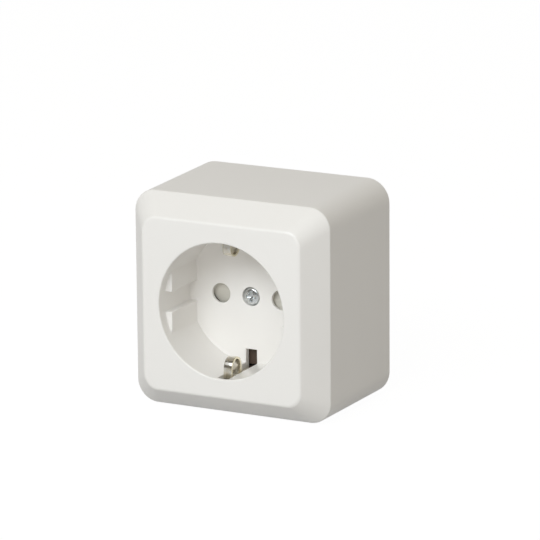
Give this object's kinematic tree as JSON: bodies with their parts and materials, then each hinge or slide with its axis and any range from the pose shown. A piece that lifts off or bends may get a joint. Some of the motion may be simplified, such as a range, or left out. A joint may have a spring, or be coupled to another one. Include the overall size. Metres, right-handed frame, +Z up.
{
  "type": "surface mounted socket outlet",
  "caption": "Surface mounted earthed wall socket: chamfered white cover with a round plug well, shuttered pin holes, side earth clips and a centre screw, over a base plate with a contact block.",
  "frame": {"origin": "centre of the wall face of the base plate", "axes": "+X to the right and +Z up as seen from the room, +Y into the wall; the front faces -Y"},
  "size_m": [0.0624, 0.0445, 0.0632],
  "materials": {
    "cover_plastic": "off-white moulded plastic, satin gloss",
    "base_plastic": "off-white moulded plastic, matt",
    "carrier_plastic": "dark brown moulded plastic, matt",
    "shutter_plastic": "beige grey moulded plastic",
    "plated_brass": "thinly plated brass strip, bright",
    "zinc": "zinc plated steel",
    "bright_zinc": "bright zinc plated steel",
    "spring_steel": "spring steel"
  },
  "bodies": {
    "socket": {"cover": "cover_plastic", "base_plate": "base_plastic", "contact_carrier": "carrier_plastic", "shutter_housing": "carrier_plastic", "shutter_spring": "spring_steel", "earth_strap": "plated_brass", "left_contact": "plated_brass", "right_contact": "plated_brass", "left_contact_spring": "spring_steel", "right_contact_spring": "spring_steel", "left_terminal_cage": "zinc", "right_terminal_cage": "zinc", "left_terminal_screw": "zinc", "right_terminal_screw": "zinc", "earth_clamp_plate": "zinc", "earth_terminal_screw": "zinc", "cover_screw": "bright_zinc", "cover_screw_bush": "plated_brass", "lower_carrier_screw": "zinc", "upper_carrier_screw": "zinc"},
    "shutter_rotor": {"shutter": "shutter_plastic"}
  },
  "joints": [
    {"name": "shutter_turn", "type": "hinge", "parent": "socket", "child": "shutter_rotor", "pos_m": [0, -0.0239, 0], "axis": [0, 1, 0], "range_deg": [0, 42], "stiffness_Nm_per_rad": 0.002, "springref_deg": -17.19, "deforming": ["shutter_spring"]}
  ]
}
